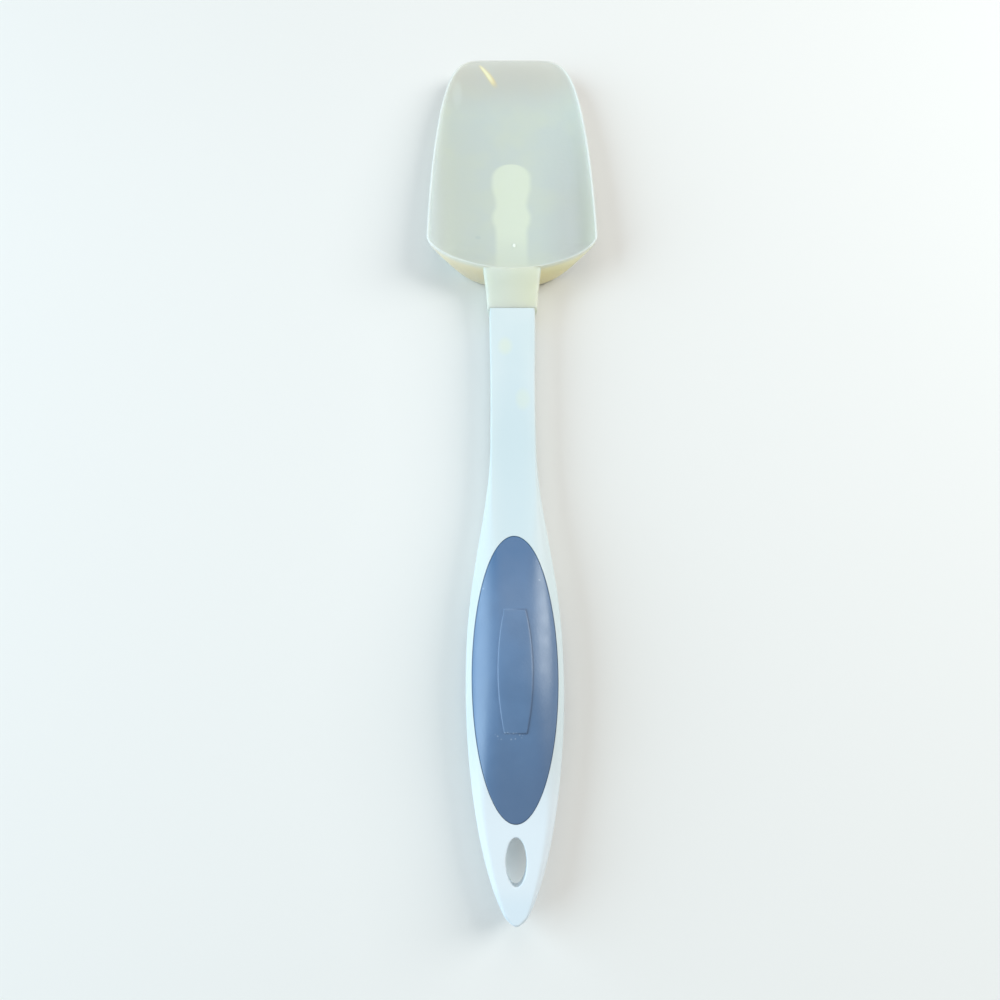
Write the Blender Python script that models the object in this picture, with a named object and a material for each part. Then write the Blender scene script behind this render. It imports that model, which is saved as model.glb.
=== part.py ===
"""Spoon spatula, lying on its back with the hollow of the spoon up.

A soft, milky spoon head is moulded over the tang of a rigid white handle. The handle's grip has a
shallow pocket on its front and on its back, and each pocket holds a soft inlay.

Metres, +Z up. Y runs from the handle's tail to the tip of the head, and X runs across. The origin is
the middle of the whole object in X and Y, on the surface that it rests on. A station, written s, is a
distance along the object from the tail's end.
"""

import math

import bmesh
import bpy

CLEARANCE = 0.0003

# Handle, seen from above
HANDLE_REACH = 0.1857
GRIP_WIDTH = 0.0280
GRIP_WIDEST_AT = 0.0640
TAIL_BLUNTNESS = 0.0007
TAIL_ROUNDING = 0.0020
TAIL_TAPER_POWER = 0.625
FLARE_SKEW = 1.12
SHANK_WIDTH = 0.0146
SHANK_BEGINS_AT = 0.1360
SHANK_SPREADS_AT = 0.1500
SHANK_END_WIDTH = 0.0157

# Handle, seen from the side
TAIL_THICKNESS = 0.0088
TAIL_BACK_HEIGHT = 0.0036
TAIL_CROWN_ROUNDING = 0.0018
TAIL_LAND_END = 0.0230
GRIP_THICKNESS = 0.0174
SHANK_THICKNESS = 0.0098
SHANK_BACK_HEIGHT = 0.0022

# Part of the width that is flat across the front and back
TAIL_FLATNESS = 0.66
SHANK_FLATNESS = 0.88
TANG_FLATNESS = 0.66
SECTION_POWER = 2.3
FULL_FLATNESS = 0.4

# Hang hole through the tail
HOLE_LENGTH = 0.0118
HOLE_WIDTH = 0.0056
HOLE_AT = 0.0152
HOLE_OVERRUN = 0.0090

# Grip inlays and the bare raised plaque on the front one
INLAY_LENGTH = 0.0792
INLAY_WIDTH = 0.0244
INLAY_AT = 0.0636
POCKET_DEPTH = 0.0022
INLAY_CROWN = 0.0003
INLAY_EDGE_POWER = 6
PLAQUE_LENGTH = 0.0336
PLAQUE_WIDTH = 0.0098
PLAQUE_END_WIDTH = 0.0062
PLAQUE_RISE = 0.00035
PLAQUE_ROOT = 0.0008

# Collar and bowl of the head
COLLAR_LENGTH = 0.0141
COLLAR_WALL = 0.0012
COLLAR_PROUD = 0.0004
COLLAR_SIDE_FLARE = 0.0017
COLLAR_FACE_FLARE = 0.0008
COLLAR_EDGE = 0.0003
COLLAR_FLARE_POWER = 1.5
COLLAR_LEAN = 0.45
COLLAR_BITE = 0.0007
BOWL_LENGTH = 0.1052
BOWL_WIDTH = 0.0600
BOWL_TIP_WIDTH = 0.0487
BOWL_WIDEST_FROM_HEEL = 0.0145
BOWL_CENTRE_FROM_HEEL = 0.0250
HEEL_POWER = 1.75
TIP_POWER = 7.0
HEEL_RIM_RISE = 0.0004
TIP_RIM_HEIGHT = 0.0080
RIM_FALL_POWER = 1.5
RIM_WIDTH = 0.0009
BACK_FLAT_CUT = 0.0008

# Tang inside the head. Its bulbs are counted back from its end, its shoulder from the bowl's heel
TANG_LENGTH = 0.0552
TANG_THICKNESS = 0.0022
TANG_BACK_COVER = 0.0011
TANG_FRONT_COVER = 0.0011
TANG_NECK_WIDTH = 0.0112
TANG_SHOULDER_FROM = 0.0070
TANG_SHOULDER_TO = 0.0190
TANG_THINS_BEFORE_HEEL = 0.0060
LOWER_BULB_WIDTH = 0.0140
LOWER_BULB_FROM_END = 0.0260
LOWER_BULB_REACH = 0.0065
UPPER_BULB_WIDTH = 0.0143
UPPER_BULB_FROM_END = 0.0097
TANG_END_ROUNDING = 0.0070

# Steepness of the bowl's wall at its heel, sides and tip: a higher power is a squarer bend
HOLLOW_POWERS = (2.4, 4.0, 2.2)
BACK_POWERS = (26.0, 1.8, 2.0)
HEEL_WALL_SPREAD = 0.55

# Places worked out from the sizes above
HEEL_AT = HANDLE_REACH + COLLAR_LENGTH
TIP_AT = HEEL_AT + BOWL_LENGTH
BOWL_CENTRE_AT = HEEL_AT + BOWL_CENTRE_FROM_HEEL
SHANK_FRONT = SHANK_BACK_HEIGHT + SHANK_THICKNESS
COLLAR_BACK = SHANK_BACK_HEIGHT - COLLAR_PROUD
COLLAR_FRONT = SHANK_FRONT + COLLAR_PROUD
HEEL_RIM_HEIGHT = COLLAR_FRONT + COLLAR_FACE_FLARE + HEEL_RIM_RISE
ROOT_INSET = COLLAR_WALL + CLEARANCE - COLLAR_PROUD
ROOT_WIDTH = SHANK_END_WIDTH - 2 * ROOT_INSET
ROOT_BACK = SHANK_BACK_HEIGHT + ROOT_INSET
ROOT_FRONT = SHANK_FRONT - ROOT_INSET
TANG_BACK = TANG_BACK_COVER + CLEARANCE
TANG_FRONT = TANG_BACK + TANG_THICKNESS
FLOOR_HEIGHT = TANG_FRONT + CLEARANCE + TANG_FRONT_COVER
TANG_END_AT = HEEL_AT + TANG_LENGTH
LOWER_BULB_AT = TANG_END_AT - LOWER_BULB_FROM_END
UPPER_BULB_AT = TANG_END_AT - UPPER_BULB_FROM_END
UPPER_BULB_REACH = UPPER_BULB_AT - LOWER_BULB_AT - LOWER_BULB_REACH

# Fineness of the meshes
SHARP_ANGLE = math.radians(40)
AROUND_HANDLE = 32
TAIL_CAP_RINGS = 6
GRIP_RINGS = 32
SHANK_RINGS = 5
TANG_RINGS = 30
TANG_CAP_RINGS = 7
COLLAR_RINGS = 5
INLAY_RINGS = 6
PLAQUE_CELLS = (4, 14)
HOLE_SIDES = 28
OUTLINE_SAMPLES = 600
AROUND_INLAY = 40
AROUND_BOWL = 64
HOLLOW_RINGS = 9
BACK_RINGS = 12

# Colours as linear values
HEAD_COLOUR = (0.62, 0.70, 0.62)
HANDLE_COLOUR = (0.72, 0.85, 0.90)
GRIP_COLOUR = (0.13, 0.20, 0.35)


def along(s):
    """The Y of a station."""
    return s - TIP_AT / 2


def ease(value, start, end):
    """Rises smoothly from 0 at start to 1 at end."""
    part = min(max((value - start) / (end - start), 0.0), 1.0)
    return part * part * (3 - 2 * part)


def mix(low, high, part):
    return low + (high - low) * part


def round_end(distance, reach):
    """The share of its full size that a body has at this distance from its rounded end."""
    part = min(max(distance / reach, 0.0), 1.0)
    return math.sqrt(1 - (1 - part) ** 2)


def flare(s):
    """1 at the widest part of the grip, falling to 0 where the shank begins."""
    part = min(max((s - GRIP_WIDEST_AT) / (SHANK_BEGINS_AT - GRIP_WIDEST_AT), 0.0), 1.0)
    return math.cos(part**FLARE_SKEW * math.pi / 2) ** 2


def bulb(s, centre, reach):
    """A smooth swelling of height 1 about the centre."""
    part = min(abs(s - centre) / reach, 1.0)
    return (1 + math.cos(math.pi * part)) / 2


def tang_section(s, gap):
    """Station, width, back, front and flatness of the tang, grown by the gap all round."""
    shoulder = ease(s, HEEL_AT + TANG_SHOULDER_FROM, HEEL_AT + TANG_SHOULDER_TO)
    lower = bulb(s, LOWER_BULB_AT, LOWER_BULB_REACH)
    upper = 1.0 if s > UPPER_BULB_AT else bulb(s, UPPER_BULB_AT, UPPER_BULB_REACH)
    width = mix(ROOT_WIDTH, TANG_NECK_WIDTH, shoulder)
    width += (LOWER_BULB_WIDTH - TANG_NECK_WIDTH) * lower
    width += (UPPER_BULB_WIDTH - TANG_NECK_WIDTH) * upper
    back = mix(ROOT_BACK, TANG_BACK, ease(s, HEEL_AT, HEEL_AT + TANG_SHOULDER_TO))
    thins_from = HEEL_AT - TANG_THINS_BEFORE_HEEL
    front = mix(ROOT_FRONT, TANG_FRONT, ease(s, thins_from, HEEL_AT + TANG_SHOULDER_TO))
    reach = TANG_END_AT + gap - s
    narrowed = (width + 2 * gap) * round_end(reach, TANG_END_ROUNDING + gap)
    middle = (front + back) / 2
    half = ((front - back) / 2 + gap) * round_end(reach, TANG_THICKNESS / 2 + gap)
    return s, narrowed, middle - half, middle + half, TANG_FLATNESS


def tang_sections(gap):
    """The tang's sections, from the shank's end to the rounded end of the tang."""
    start = HANDLE_REACH - CLEARANCE
    cap_begins = TANG_END_AT - TANG_END_ROUNDING
    end = TANG_END_AT + gap
    stations = even(start, cap_begins, TANG_RINGS)
    for k in range(TANG_CAP_RINGS + 1):
        stations.append(mix(cap_begins, end, math.sin(math.pi / 2 * k / TANG_CAP_RINGS)))
    return [tang_section(s, gap) for s in stations]


def handle_width(s):
    if s > GRIP_WIDEST_AT:
        spread = ease(s, SHANK_SPREADS_AT, HANDLE_REACH)
        return mix(mix(SHANK_WIDTH, GRIP_WIDTH, flare(s)), SHANK_END_WIDTH, spread)
    part = (s + TAIL_BLUNTNESS) / (GRIP_WIDEST_AT + TAIL_BLUNTNESS)
    return GRIP_WIDTH * (1 - (1 - part) ** 2) ** TAIL_TAPER_POWER


def handle_back(s):
    """The height of the handle's back on its centre line."""
    if s > GRIP_WIDEST_AT:
        return mix(SHANK_BACK_HEIGHT, INLAY_CROWN, flare(s))
    return mix(TAIL_BACK_HEIGHT, INLAY_CROWN, ease(s, TAIL_LAND_END, GRIP_WIDEST_AT))


def handle_front(s):
    """The height of the handle's front on its centre line."""
    grip = INLAY_CROWN + GRIP_THICKNESS
    if s > GRIP_WIDEST_AT:
        return mix(SHANK_FRONT, grip, flare(s))
    tail = TAIL_BACK_HEIGHT + TAIL_THICKNESS
    return mix(tail, grip, ease(s, TAIL_LAND_END, GRIP_WIDEST_AT))


def flatness(s):
    if s > GRIP_WIDEST_AT:
        return mix(SHANK_FLATNESS, 0.0, flare(s))
    return mix(TAIL_FLATNESS, 0.0, ease(s, TAIL_LAND_END, GRIP_WIDEST_AT))


def handle_section(s):
    """Station, width, back, front and flatness of the grip and shank."""
    middle = (handle_front(s) + handle_back(s)) / 2
    half = (handle_front(s) - handle_back(s)) / 2 * round_end(s, TAIL_CROWN_ROUNDING)
    return s, handle_width(s) * round_end(s, TAIL_ROUNDING), middle - half, middle + half, flatness(s)


def handle_sections():
    """The handle's sections, with a step down to the tang where the head's collar butts against it."""
    stations = []
    for k in range(TAIL_CAP_RINGS):
        stations.append(TAIL_CROWN_ROUNDING * (1 - math.cos(math.pi / 2 * k / TAIL_CAP_RINGS)))
    stations += even(TAIL_CROWN_ROUNDING, SHANK_BEGINS_AT, GRIP_RINGS)
    stations += even(SHANK_BEGINS_AT, HANDLE_REACH - CLEARANCE, SHANK_RINGS)
    stations.append(HANDLE_REACH - CLEARANCE)
    return [handle_section(s) for s in stations] + tang_sections(0.0)


def crown(across, flat):
    """The height of a section at a share of its half width, as a share of its half thickness."""
    bent = max((across - flat) / (1 - flat), 0.0)
    return max(1 - min(bent, 1.0) ** SECTION_POWER, 0.0) ** (1 / SECTION_POWER)


def section_point(step, flat):
    """A point on the unit section: an ellipse with squared shoulders and a flat middle, if it has one."""
    quarter = AROUND_HANDLE // 4
    turned = abs(step % (2 * quarter) - quarter) / quarter
    past_flat = max((quarter * turned - 1) / (quarter - 1), 0.0)
    turned = mix(turned, past_flat, min(flat / FULL_FLATNESS, 1.0))
    bent = math.sin(math.pi / 2 * turned) ** (2 / SECTION_POWER)
    across = flat + (1 - flat) * bent if step % (2 * quarter) != quarter else 0.0
    right = step < quarter or step > 3 * quarter
    front = step <= 2 * quarter
    up = crown(across, flat)
    return across if right else -across, up if front else -up


def surface_height(x, s, side):
    """The height of the handle's front (side 1) or back (side -1) at a point in the plan."""
    middle = (handle_front(s) + handle_back(s)) / 2
    half = (handle_front(s) - handle_back(s)) / 2
    return middle + side * half * crown(min(abs(x) * 2 / handle_width(s), 1.0), flatness(s))


def even(start, end, count):
    """Evenly spaced values from start up to, but not including, end."""
    return [start + (end - start) * k / count for k in range(count)]


def new_object(name, bm, collection):
    bmesh.ops.recalc_face_normals(bm, faces=bm.faces[:])
    if bm.calc_volume(signed=True) < 0:
        bmesh.ops.reverse_faces(bm, faces=bm.faces[:])
    mesh = bpy.data.meshes.new(name)
    bm.to_mesh(mesh)
    bm.free()
    mesh.shade_smooth()
    mesh.set_sharp_from_angle(angle=SHARP_ANGLE)
    obj = bpy.data.objects.new(name, mesh)
    collection.objects.link(obj)
    if collection.name == "cutters":
        obj.hide_render = True
        obj.display_type = "WIRE"
    return obj


def ringed_body(name, collection, around, rings, place):
    """A sphere whose rings are moved to places of their own. Ring 0 and the last are its two ends."""
    bm = bmesh.new()
    bmesh.ops.create_uvsphere(bm, u_segments=around, v_segments=rings, radius=1.0)
    for vert in bm.verts:
        ring = round(math.acos(min(max(vert.co.z, -1.0), 1.0)) / math.pi * rings)
        step = round(math.atan2(vert.co.y, vert.co.x) / math.tau * around) % around
        vert.co = place(ring, step)
    return new_object(name, bm, collection)


def bar(name, collection, sections):
    """A long body through a list of sections, each a station, width, back, front and flatness."""
    last = len(sections) - 1

    def place(ring, step):
        s, width, back, front, flat = sections[ring]
        if ring in (0, last):
            return 0.0, along(s), (back + front) / 2
        across, up = section_point(step, flat)
        return across * width / 2, along(s), (back + front) / 2 + up * (front - back) / 2

    return ringed_body(name, collection, AROUND_HANDLE, last, place)


def collar_body(collection):
    """The sleeve round the tang's root, from its straight mouth to a slanted end in the bowl's heel."""
    end_reach = COLLAR_LENGTH + COLLAR_BITE
    reaches = [0.0, 0.0, COLLAR_EDGE]
    reaches += even(COLLAR_LENGTH / (COLLAR_RINGS + 1), COLLAR_LENGTH, COLLAR_RINGS)
    reaches += [end_reach, end_reach]
    middle = (COLLAR_FRONT + COLLAR_BACK) / 2

    def place(ring, step):
        reach = reaches[ring]
        drawn = COLLAR_EDGE if reach == 0.0 else 0.0
        grown = (reach / COLLAR_LENGTH) ** COLLAR_FLARE_POWER
        half_width = SHANK_END_WIDTH / 2 + COLLAR_PROUD + COLLAR_SIDE_FLARE * grown - drawn
        half_depth = (COLLAR_FRONT - COLLAR_BACK) / 2 + COLLAR_FACE_FLARE * min(grown, 1.0) - drawn
        across, up = section_point(step, SHANK_FLATNESS)
        if ring in (0, len(reaches) - 1):
            across, up = 0.0, 0.0
        slant = COLLAR_LEAN * (1 - up) * half_depth * (reach / end_reach) ** 3
        return across * half_width, along(HANDLE_REACH + reach + slant), middle + up * half_depth

    return ringed_body("collar_body", collection, AROUND_HANDLE, len(reaches) - 1, place)


def bowl_half_width(s):
    """Half the bowl's width: a round heel, nearly straight sides and a squarish tip."""
    widest_at = HEEL_AT + BOWL_WIDEST_FROM_HEEL
    if s < widest_at:
        part = min((widest_at - s) / BOWL_WIDEST_FROM_HEEL, 1.0)
        return BOWL_WIDTH / 2 * (1 - part**HEEL_POWER) ** (1 / HEEL_POWER)
    part = min((s - widest_at) / (TIP_AT - widest_at), 1.0)
    side = mix(BOWL_WIDTH / 2, BOWL_TIP_WIDTH / 2, part * part)
    return side * (1 - part**TIP_POWER) ** (1 / TIP_POWER)


def bowl_outline():
    """Points round the bowl's outline, sharing out its length and its turning evenly."""
    half = []
    for k in range(OUTLINE_SAMPLES + 1):
        s = mix(HEEL_AT, TIP_AT, (1 - math.cos(math.pi * k / OUTLINE_SAMPLES)) / 2)
        half.append((bowl_half_width(s), s))
    loop = half + [(-x, s) for x, s in reversed(half[1:-1])]
    count = len(loop)
    measure = [0.0]
    for k in range(count):
        before, here, after = loop[k - 1], loop[k], loop[(k + 1) % count]
        step_in = (here[0] - before[0], here[1] - before[1])
        step_out = (after[0] - here[0], after[1] - here[1])
        turned = math.atan2(step_in[0] * step_out[1] - step_in[1] * step_out[0],
                            step_in[0] * step_out[0] + step_in[1] * step_out[1])
        measure.append(measure[-1] + math.hypot(*step_out) / BOWL_WIDTH * 2 + abs(turned))
    points = []
    k = 0
    for step in range(AROUND_BOWL):
        wanted = measure[-1] * step / AROUND_BOWL
        while measure[k + 1] < wanted:
            k += 1
        part = (wanted - measure[k]) / (measure[k + 1] - measure[k])
        here, after = loop[k], loop[(k + 1) % count]
        points.append((mix(here[0], after[0], part), mix(here[1], after[1], part)))
    return points


def drawn_in(outline, distance):
    """The outline moved inwards, square to itself."""
    moved = []
    count = len(outline)
    for k in range(count):
        before, after = outline[k - 1], outline[(k + 1) % count]
        run = (after[0] - before[0], after[1] - before[1])
        length = math.hypot(*run)
        moved.append((outline[k][0] - run[1] / length * distance,
                      outline[k][1] + run[0] / length * distance))
    return moved


def rim_height(s):
    part = min(max((s - HEEL_AT) / BOWL_LENGTH, 0.0), 1.0)
    return mix(HEEL_RIM_HEIGHT, TIP_RIM_HEIGHT, part**RIM_FALL_POWER)


def bend_power(powers, rim_s):
    """The wall's power at a point of the rim, between those of the heel, the sides and the tip."""
    heel, side, tip = powers
    to_heel = ease(BOWL_CENTRE_AT - rim_s, HEEL_WALL_SPREAD * BOWL_CENTRE_FROM_HEEL, BOWL_CENTRE_FROM_HEEL)
    to_tip = ease(rim_s, BOWL_CENTRE_AT, TIP_AT)
    return mix(side * (heel / side) ** to_heel, tip, to_tip)


def bowl(collection):
    """The spoon: a ring at a time from the middle of its hollow, over the rim, to the middle of its back."""
    outer = bowl_outline()
    inner = drawn_in(outer, RIM_WIDTH)
    rings = HOLLOW_RINGS + BACK_RINGS + 1

    def place(ring, step):
        inside = ring <= HOLLOW_RINGS
        if inside:
            part = math.sin(math.pi / 2 * ring / HOLLOW_RINGS)
            edge, powers, depth_to = inner[step], HOLLOW_POWERS, FLOOR_HEIGHT
        else:
            part = math.sin(math.pi / 2 * (rings - ring) / BACK_RINGS)
            edge, powers, depth_to = outer[step], BACK_POWERS, -BACK_FLAT_CUT
        x = edge[0] * part
        s = mix(BOWL_CENTRE_AT, edge[1], part)
        power = bend_power(powers, edge[1])
        rim = rim_height(s)
        z = rim - (rim - depth_to) * math.sqrt(1 - part**power)
        return x, along(s), max(z, 0.0)

    return ringed_body("spoon_head", collection, AROUND_BOWL, rings, place)


def inlay_shape(name, collection, side, gap, lift, sink):
    """An oval plate along the grip's surface. lift raises its outer face and sink lowers its inner one."""
    half_length = INLAY_LENGTH / 2 - gap
    half_width = INLAY_WIDTH / 2 - gap
    last = 2 * INLAY_RINGS + 1

    def place(ring, step):
        outside = ring <= INLAY_RINGS
        rung = ring if outside else last - ring
        part = math.sin(math.pi / 2 * rung / INLAY_RINGS)
        angle = math.tau * step / AROUND_INLAY
        x = half_width * part * math.cos(angle)
        s = INLAY_AT + half_length * part * math.sin(angle)
        reach = lift * (1 - part**INLAY_EDGE_POWER) if outside and gap else lift
        offset = reach if outside else -sink
        return x, along(s), surface_height(x, s, side) + side * offset

    return ringed_body(name, collection, AROUND_INLAY, last, place)


def plaque(collection):
    """The bare raised panel in the middle of the front inlay, with straight ends and bowed sides."""
    bm = bmesh.new()
    bmesh.ops.create_grid(bm, x_segments=PLAQUE_CELLS[0], y_segments=PLAQUE_CELLS[1], size=1.0)
    top = bmesh.ops.extrude_face_region(bm, geom=bm.faces[:])["geom"]
    raised = {item for item in top if isinstance(item, bmesh.types.BMVert)}
    for vert in bm.verts:
        bow = 1 - vert.co.y * vert.co.y
        x = vert.co.x * mix(PLAQUE_END_WIDTH, PLAQUE_WIDTH, bow) / 2
        s = INLAY_AT + vert.co.y * PLAQUE_LENGTH / 2
        offset = PLAQUE_RISE if vert in raised else -PLAQUE_ROOT
        vert.co = (x, along(s), surface_height(x, s, 1) + INLAY_CROWN + offset)
    return new_object("plaque_body", bm, collection)


def hang_hole(collection):
    bm = bmesh.new()
    bmesh.ops.create_cone(bm, cap_ends=True, segments=HOLE_SIDES, radius1=1.0, radius2=1.0, depth=1.0)
    depth = TAIL_THICKNESS + 2 * HOLE_OVERRUN
    middle = TAIL_BACK_HEIGHT + TAIL_THICKNESS / 2
    for vert in bm.verts:
        x, y, z = vert.co
        vert.co = (x * HOLE_WIDTH / 2, along(HOLE_AT + y * HOLE_LENGTH / 2), middle + z * depth)
    return new_object("hang_hole_cutter", bm, collection)


def combine(obj, other, operation):
    modifier = obj.modifiers.new(f"{operation.lower()}_{other.name}", "BOOLEAN")
    modifier.operation = operation
    modifier.object = other
    modifier.solver = "EXACT"


def material(name, colour, roughness):
    made = bpy.data.materials.new(name)
    made.use_nodes = True
    shader = made.node_tree.nodes["Principled BSDF"]
    shader.inputs["Base Color"].default_value = (*colour, 1.0)
    shader.inputs["Roughness"].default_value = roughness
    shader.inputs["Metallic"].default_value = 0.0
    return made


def make_handle(parts, cutters):
    handle = bar("handle", parts, handle_sections())
    combine(handle, hang_hole(cutters), "DIFFERENCE")
    for side, name in ((1, "front_pocket_cutter"), (-1, "rear_pocket_cutter")):
        pocket = inlay_shape(name, cutters, side, 0.0, POCKET_DEPTH, POCKET_DEPTH)
        combine(handle, pocket, "DIFFERENCE")
    handle.data.materials.append(material("white_plastic", HANDLE_COLOUR, 0.35))


def make_grips(parts, cutters):
    soft = material("blue_grey_soft_plastic", GRIP_COLOUR, 0.6)
    sink = POCKET_DEPTH - CLEARANCE
    front = inlay_shape("front_grip", parts, 1, CLEARANCE, INLAY_CROWN, sink)
    combine(front, plaque(cutters), "UNION")
    rear = inlay_shape("rear_grip", parts, -1, CLEARANCE, INLAY_CROWN, sink)
    for grip in (front, rear):
        grip.data.materials.append(soft)


def make_head(parts, cutters):
    head = bowl(parts)
    combine(head, collar_body(cutters), "UNION")
    sections = tang_sections(CLEARANCE)
    outside = (HANDLE_REACH - COLLAR_LENGTH / 4, *sections[0][1:])
    cavity = bar("tang_cavity_cutter", cutters, [outside, outside] + sections)
    combine(head, cavity, "DIFFERENCE")
    head.data.materials.append(material("milky_soft_plastic", HEAD_COLOUR, 0.45))


def main():
    for obj in list(bpy.data.objects):
        bpy.data.objects.remove(obj, do_unlink=True)
    parts = bpy.data.collections.new("spoon_spatula")
    cutters = bpy.data.collections.new("cutters")
    for collection in (parts, cutters):
        bpy.context.scene.collection.children.link(collection)
    make_handle(parts, cutters)
    make_grips(parts, cutters)
    make_head(parts, cutters)


main()
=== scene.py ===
# %% [markdown]
# # A spoon spatula, dressed for its picture
#
# A soft, milky spoon is moulded over the end of a white plastic handle. The grip has an oval,
# blue-grey inlay on its front and another on its back. Nothing on it moves.
#
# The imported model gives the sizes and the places. This script gives each piece a finer skin and a
# finish of its own. All lengths are metres, and Y runs from the handle's tail to the spoon's tip.

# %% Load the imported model
import math

import bmesh
import bpy
import numpy as np
from mathutils import Matrix, Vector


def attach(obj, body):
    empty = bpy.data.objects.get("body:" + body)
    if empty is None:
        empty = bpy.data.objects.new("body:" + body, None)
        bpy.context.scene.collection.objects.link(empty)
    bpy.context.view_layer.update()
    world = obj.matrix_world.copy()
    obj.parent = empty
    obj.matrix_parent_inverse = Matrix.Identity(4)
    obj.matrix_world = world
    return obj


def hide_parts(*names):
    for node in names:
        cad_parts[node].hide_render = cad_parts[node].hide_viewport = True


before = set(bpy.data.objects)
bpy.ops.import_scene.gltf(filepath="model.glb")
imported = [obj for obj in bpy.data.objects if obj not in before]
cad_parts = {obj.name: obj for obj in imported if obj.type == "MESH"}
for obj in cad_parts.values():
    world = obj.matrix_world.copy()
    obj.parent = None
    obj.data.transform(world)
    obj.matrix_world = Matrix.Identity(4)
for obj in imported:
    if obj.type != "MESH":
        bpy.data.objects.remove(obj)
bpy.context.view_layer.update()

print("packed nodes:", sorted(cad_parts))

# %% [markdown]
# ## The camera
#
# The photograph was taken from above the grip, leaning towards the spoon, so the spoon looks
# smaller than it is. A wide lens close to the object gives the same taper. Three things set the
# view: where the camera is, how far it leans, and its focal length.

# %% Camera
def add_camera(place, lean, lens):
    data = bpy.data.cameras.new("photo_camera")
    data.lens = lens
    data.sensor_width = 36.0
    camera = bpy.data.objects.new("photo_camera", data)
    camera.location = place
    camera.rotation_euler = (math.radians(lean), 0.0, 0.0)
    bpy.context.scene.collection.objects.link(camera)
    return camera


camera = add_camera(place=(-0.0042, -0.11765, 0.22706), lean=20.556, lens=27.0)
bpy.context.scene.camera = camera
print("camera leans", round(math.degrees(camera.rotation_euler.x), 1), "degrees")

# %% [markdown]
# ## Stations and easing
#
# It is easier to think of a long object by stations, which are distances from the tail's end. A
# few small curves do most of the shaping: one that eases from 0 to 1, one that mixes two sizes,
# and one that rounds off an end like a quarter circle.

# %% Stations and easing
LENGTH = 0.3050


def along(station):
    """The Y of a station."""
    return station - LENGTH / 2


def ease(value, start, end):
    part = min(max((value - start) / (end - start), 0.0), 1.0)
    return part * part * (3 - 2 * part)


def mix(low, high, part):
    return low + (high - low) * part


def round_end(distance, reach):
    part = min(max(distance / reach, 0.0), 1.0)
    return math.sqrt(1 - (1 - part) ** 2)


print("the tail's end is at Y =", along(0.0), "and the tip at Y =", along(LENGTH))

# %% [markdown]
# ## The handle's outline
#
# Seen from above, the grip is a long leaf that flares out of a straight shank. Half a parabola,
# raised to a power, gives the tail, and a cosine gives the flare. Both meet at the widest place
# with no kink. The outline could also be traced point by point, but then every bump of the hand
# that traced it would show in the highlights.

# %% Handle seen from above
SHANK_END = 0.1850
GRIP_WIDTH = 0.0280
GRIP_WIDEST = 0.0640
SHANK_WIDTH = 0.0146
SHANK_START = 0.1360
SHANK_SPREADS = 0.1500
SHANK_END_WIDTH = 0.0157
TAIL_BLUNT = 0.0007
TAIL_POWER = 0.625
FLARE_POWER = 1.12


def flare(s):
    """1 at the widest part of the grip, falling to 0 where the shank begins."""
    part = min(max((s - GRIP_WIDEST) / (SHANK_START - GRIP_WIDEST), 0.0), 1.0)
    return math.cos(part**FLARE_POWER * math.pi / 2) ** 2


def handle_width(s):
    if s > GRIP_WIDEST:
        spread = ease(s, SHANK_SPREADS, SHANK_END)
        return mix(mix(SHANK_WIDTH, GRIP_WIDTH, flare(s)), SHANK_END_WIDTH, spread)
    part = (s + TAIL_BLUNT) / (GRIP_WIDEST + TAIL_BLUNT)
    return GRIP_WIDTH * (1 - (1 - part) ** 2) ** TAIL_POWER


print("width at the hang hole in mm:", round(1000 * handle_width(0.015), 1))

# %% [markdown]
# Seen from the side, the grip swells to fill the palm and thins again towards the tail, where a
# flat land on each face carries the hang hole. The flat share says how much of the width is flat:
# none in the grip, most of it in the tail and the shank. It fades out over the tail's last few
# millimetres, which makes the end round. The heights are eased into each other and not set station
# by station, because a satin surface shows every kink as a break in its highlight.

# %% Handle seen from the side
INLAY_CROWN = 0.0003
GRIP_THICKNESS = 0.0174
TAIL_BACK = 0.0036
TAIL_FRONT = 0.0124
SHANK_BACK = 0.0022
SHANK_FRONT = 0.0120
LAND_END = 0.0230
TAIL_TURN = 0.0030
TAIL_FLAT_FROM = -0.0005
TAIL_FLAT = 0.72
SHANK_FLAT = 0.92


def swell(s):
    """1 at the thickest part of the grip, 0 in the tail and the shank."""
    return flare(s) if s > GRIP_WIDEST else ease(s, LAND_END, GRIP_WIDEST)


def handle_back(s):
    return mix(SHANK_BACK if s > GRIP_WIDEST else TAIL_BACK, INLAY_CROWN, swell(s))


def handle_front(s):
    thin = SHANK_FRONT if s > GRIP_WIDEST else TAIL_FRONT
    return mix(thin, INLAY_CROWN + GRIP_THICKNESS, swell(s))


def flat_share(s):
    tail_flat = TAIL_FLAT * ease(s, TAIL_FLAT_FROM, TAIL_TURN)
    return mix(SHANK_FLAT if s > GRIP_WIDEST else tail_flat, 0.0, swell(s))


tail_thickness = handle_front(LAND_END / 2) - handle_back(LAND_END / 2)
print("thickness of the tail in mm:", round(1000 * tail_thickness, 1))

# %% [markdown]
# ## The section
#
# Cut across, the handle is an ellipse with full shoulders, a superellipse. `section_point` walks
# round it once, and `surface_height` answers the question that the inlays ask: how high is the
# grip's skin at this place? A box with bevelled edges would need a bevel that changes along the
# grip, and this curve needs one power and one flat share.

# %% Section
SHOULDER_POWER = 2.3
FULL_FLAT = 0.4
STEPS_ON_FLAT = 1 / 7


def crown(across, flat):
    bent = max((across - flat) / (1 - flat), 0.0)
    return max(1 - min(bent, 1.0) ** SHOULDER_POWER, 0.0) ** (1 / SHOULDER_POWER)


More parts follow.
